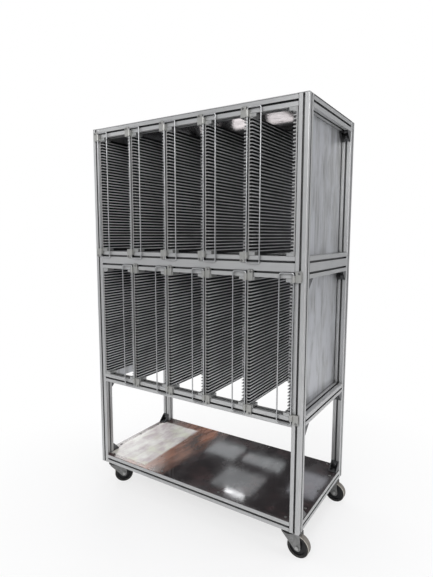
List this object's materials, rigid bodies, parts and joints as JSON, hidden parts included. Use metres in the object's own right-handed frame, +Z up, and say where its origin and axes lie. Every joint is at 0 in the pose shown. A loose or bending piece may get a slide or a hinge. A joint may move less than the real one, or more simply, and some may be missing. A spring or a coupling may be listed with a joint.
{
  "type": "pcb magazine rack",
  "caption": "Wheeled rack of T-slot profile with two tiers of ribbed bays for circuit boards, wire gates, side panels, a base shelf and swivel casters.",
  "frame": {"origin": "middle of the rack's outer box, on the floor under the wheels", "axes": "+Z up, the open front with the gates faces -Y, +X to the right seen from the front"},
  "size_m": [1.11, 0.5345, 1.714],
  "materials": {
    "profile": "natural anodised",
    "cap": "moulded grey",
    "comb": "dark anodised, with bright cut ends",
    "clamp": "milled",
    "panel": "brushed upright",
    "deck": "dark gloss",
    "bracket": "black powder coat",
    "hinge": "die-cast",
    "screw": "zinc plated",
    "black_screw": "black oxide",
    "nut": "zinc plated",
    "wire": "bright wire",
    "zinc": "zinc plated sheet",
    "core": "moulded black",
    "tyre": "grey rubber"
  },
  "bodies": {
    "rack": {"posts": "profile", "long_top_rails": "profile", "long_mid_beams": "profile", "long_lower_rails": "profile", "long_base_rails": "profile", "side_top_rails": "profile", "side_mid_beams": "profile", "side_lower_rails": "profile", "side_base_rails": "profile", "post_end_caps": "cap", "upper_divider_1": "comb", "upper_divider_2": "comb", "upper_divider_3": "comb", "upper_divider_4": "comb", "upper_end_combs": "comb", "lower_divider_1": "comb", "lower_divider_2": "comb", "lower_divider_3": "comb", "lower_divider_4": "comb", "lower_end_combs": "comb", "comb_clamps": "clamp", "side_panels": "panel", "top_panel": "deck", "base_shelf": "deck", "corner_brackets": "bracket", "hinge_blocks": "hinge", "clamp_screws": "screw", "hinge_screws": "screw", "bracket_screws": "black_screw", "shelf_screws": "screw", "top_screws": "screw", "slot_nuts": "nut", "caster_plates": "zinc", "caster_bolts": "screw"},
    "upper_gate_1": {"upper_gate_1": "wire"},
    "upper_gate_2": {"upper_gate_2": "wire"},
    "upper_gate_3": {"upper_gate_3": "wire"},
    "upper_gate_4": {"upper_gate_4": "wire"},
    "upper_gate_5": {"upper_gate_5": "wire"},
    "lower_gate_1": {"lower_gate_1": "wire"},
    "lower_gate_2": {"lower_gate_2": "wire"},
    "lower_gate_3": {"lower_gate_3": "wire"},
    "lower_gate_4": {"lower_gate_4": "wire"},
    "lower_gate_5": {"lower_gate_5": "wire"},
    "front_left_swivel": {"front_left_fork": "zinc", "front_left_axle": "screw"},
    "front_left_roller": {"front_left_wheel": "core", "front_left_tyre": "tyre"},
    "front_right_swivel": {"front_right_fork": "zinc", "front_right_axle": "screw"},
    "front_right_roller": {"front_right_wheel": "core", "front_right_tyre": "tyre"},
    "back_left_swivel": {"back_left_fork": "zinc", "back_left_axle": "screw"},
    "back_left_roller": {"back_left_wheel": "core", "back_left_tyre": "tyre"},
    "back_right_swivel": {"back_right_fork": "zinc", "back_right_axle": "screw"},
    "back_right_roller": {"back_right_wheel": "core", "back_right_tyre": "tyre"}
  },
  "joints": [
    {"name": "upper_gate_1_hinge", "type": "hinge", "parent": "rack", "child": "upper_gate_1", "pos_m": [-0.485, -0.26075, 1.415], "axis": [0, 0, -1], "range_deg": [0, 120]},
    {"name": "upper_gate_2_hinge", "type": "hinge", "parent": "rack", "child": "upper_gate_2", "pos_m": [-0.291, -0.26075, 1.415], "axis": [0, 0, -1], "range_deg": [0, 120]},
    {"name": "upper_gate_3_hinge", "type": "hinge", "parent": "rack", "child": "upper_gate_3", "pos_m": [-0.097, -0.26075, 1.415], "axis": [0, 0, -1], "range_deg": [0, 120]},
    {"name": "upper_gate_4_hinge", "type": "hinge", "parent": "rack", "child": "upper_gate_4", "pos_m": [0.097, -0.26075, 1.415], "axis": [0, 0, -1], "range_deg": [0, 120]},
    {"name": "upper_gate_5_hinge", "type": "hinge", "parent": "rack", "child": "upper_gate_5", "pos_m": [0.291, -0.26075, 1.415], "axis": [0, 0, -1], "range_deg": [0, 120]},
    {"name": "lower_gate_1_hinge", "type": "hinge", "parent": "rack", "child": "lower_gate_1", "pos_m": [-0.291, -0.26075, 0.823], "axis": [0, 0, 1], "range_deg": [0, 120]},
    {"name": "lower_gate_2_hinge", "type": "hinge", "parent": "rack", "child": "lower_gate_2", "pos_m": [-0.097, -0.26075, 0.823], "axis": [0, 0, 1], "range_deg": [0, 120]},
    {"name": "lower_gate_3_hinge", "type": "hinge", "parent": "rack", "child": "lower_gate_3", "pos_m": [0.097, -0.26075, 0.823], "axis": [0, 0, 1], "range_deg": [0, 120]},
    {"name": "lower_gate_4_hinge", "type": "hinge", "parent": "rack", "child": "lower_gate_4", "pos_m": [0.291, -0.26075, 0.823], "axis": [0, 0, 1], "range_deg": [0, 120]},
    {"name": "lower_gate_5_hinge", "type": "hinge", "parent": "rack", "child": "lower_gate_5", "pos_m": [0.485, -0.26075, 0.823], "axis": [0, 0, 1], "range_deg": [0, 120]},
    {"name": "front_left_caster_swivel", "type": "hinge", "parent": "rack", "child": "front_left_swivel", "pos_m": [-0.472, -0.21275, 0.098], "axis": [0, 0, 1], "continuous": true},
    {"name": "front_left_wheel_spin", "type": "hinge", "parent": "front_left_swivel", "child": "front_left_roller", "pos_m": [-0.44442, -0.18517, 0.044], "axis": [-0.7071, 0.7071, 0], "continuous": true},
    {"name": "front_right_caster_swivel", "type": "hinge", "parent": "rack", "child": "front_right_swivel", "pos_m": [0.472, -0.21275, 0.098], "axis": [0, 0, 1], "continuous": true},
    {"name": "front_right_wheel_spin", "type": "hinge", "parent": "front_right_swivel", "child": "front_right_roller", "pos_m": [0.511, -0.21275, 0.044], "axis": [0, 1, 0], "continuous": true},
    {"name": "back_left_caster_swivel", "type": "hinge", "parent": "rack", "child": "back_left_swivel", "pos_m": [-0.472, 0.22725, 0.098], "axis": [0, 0, 1], "continuous": true},
    {"name": "back_left_wheel_spin", "type": "hinge", "parent": "back_left_swivel", "child": "back_left_roller", "pos_m": [-0.511, 0.22725, 0.044], "axis": [0, -1, 0], "continuous": true},
    {"name": "back_right_caster_swivel", "type": "hinge", "parent": "rack", "child": "back_right_swivel", "pos_m": [0.472, 0.22725, 0.098], "axis": [0, 0, 1], "continuous": true},
    {"name": "back_right_wheel_spin", "type": "hinge", "parent": "back_right_swivel", "child": "back_right_roller", "pos_m": [0.511, 0.22725, 0.044], "axis": [0, 1, 0], "continuous": true}
  ]
}
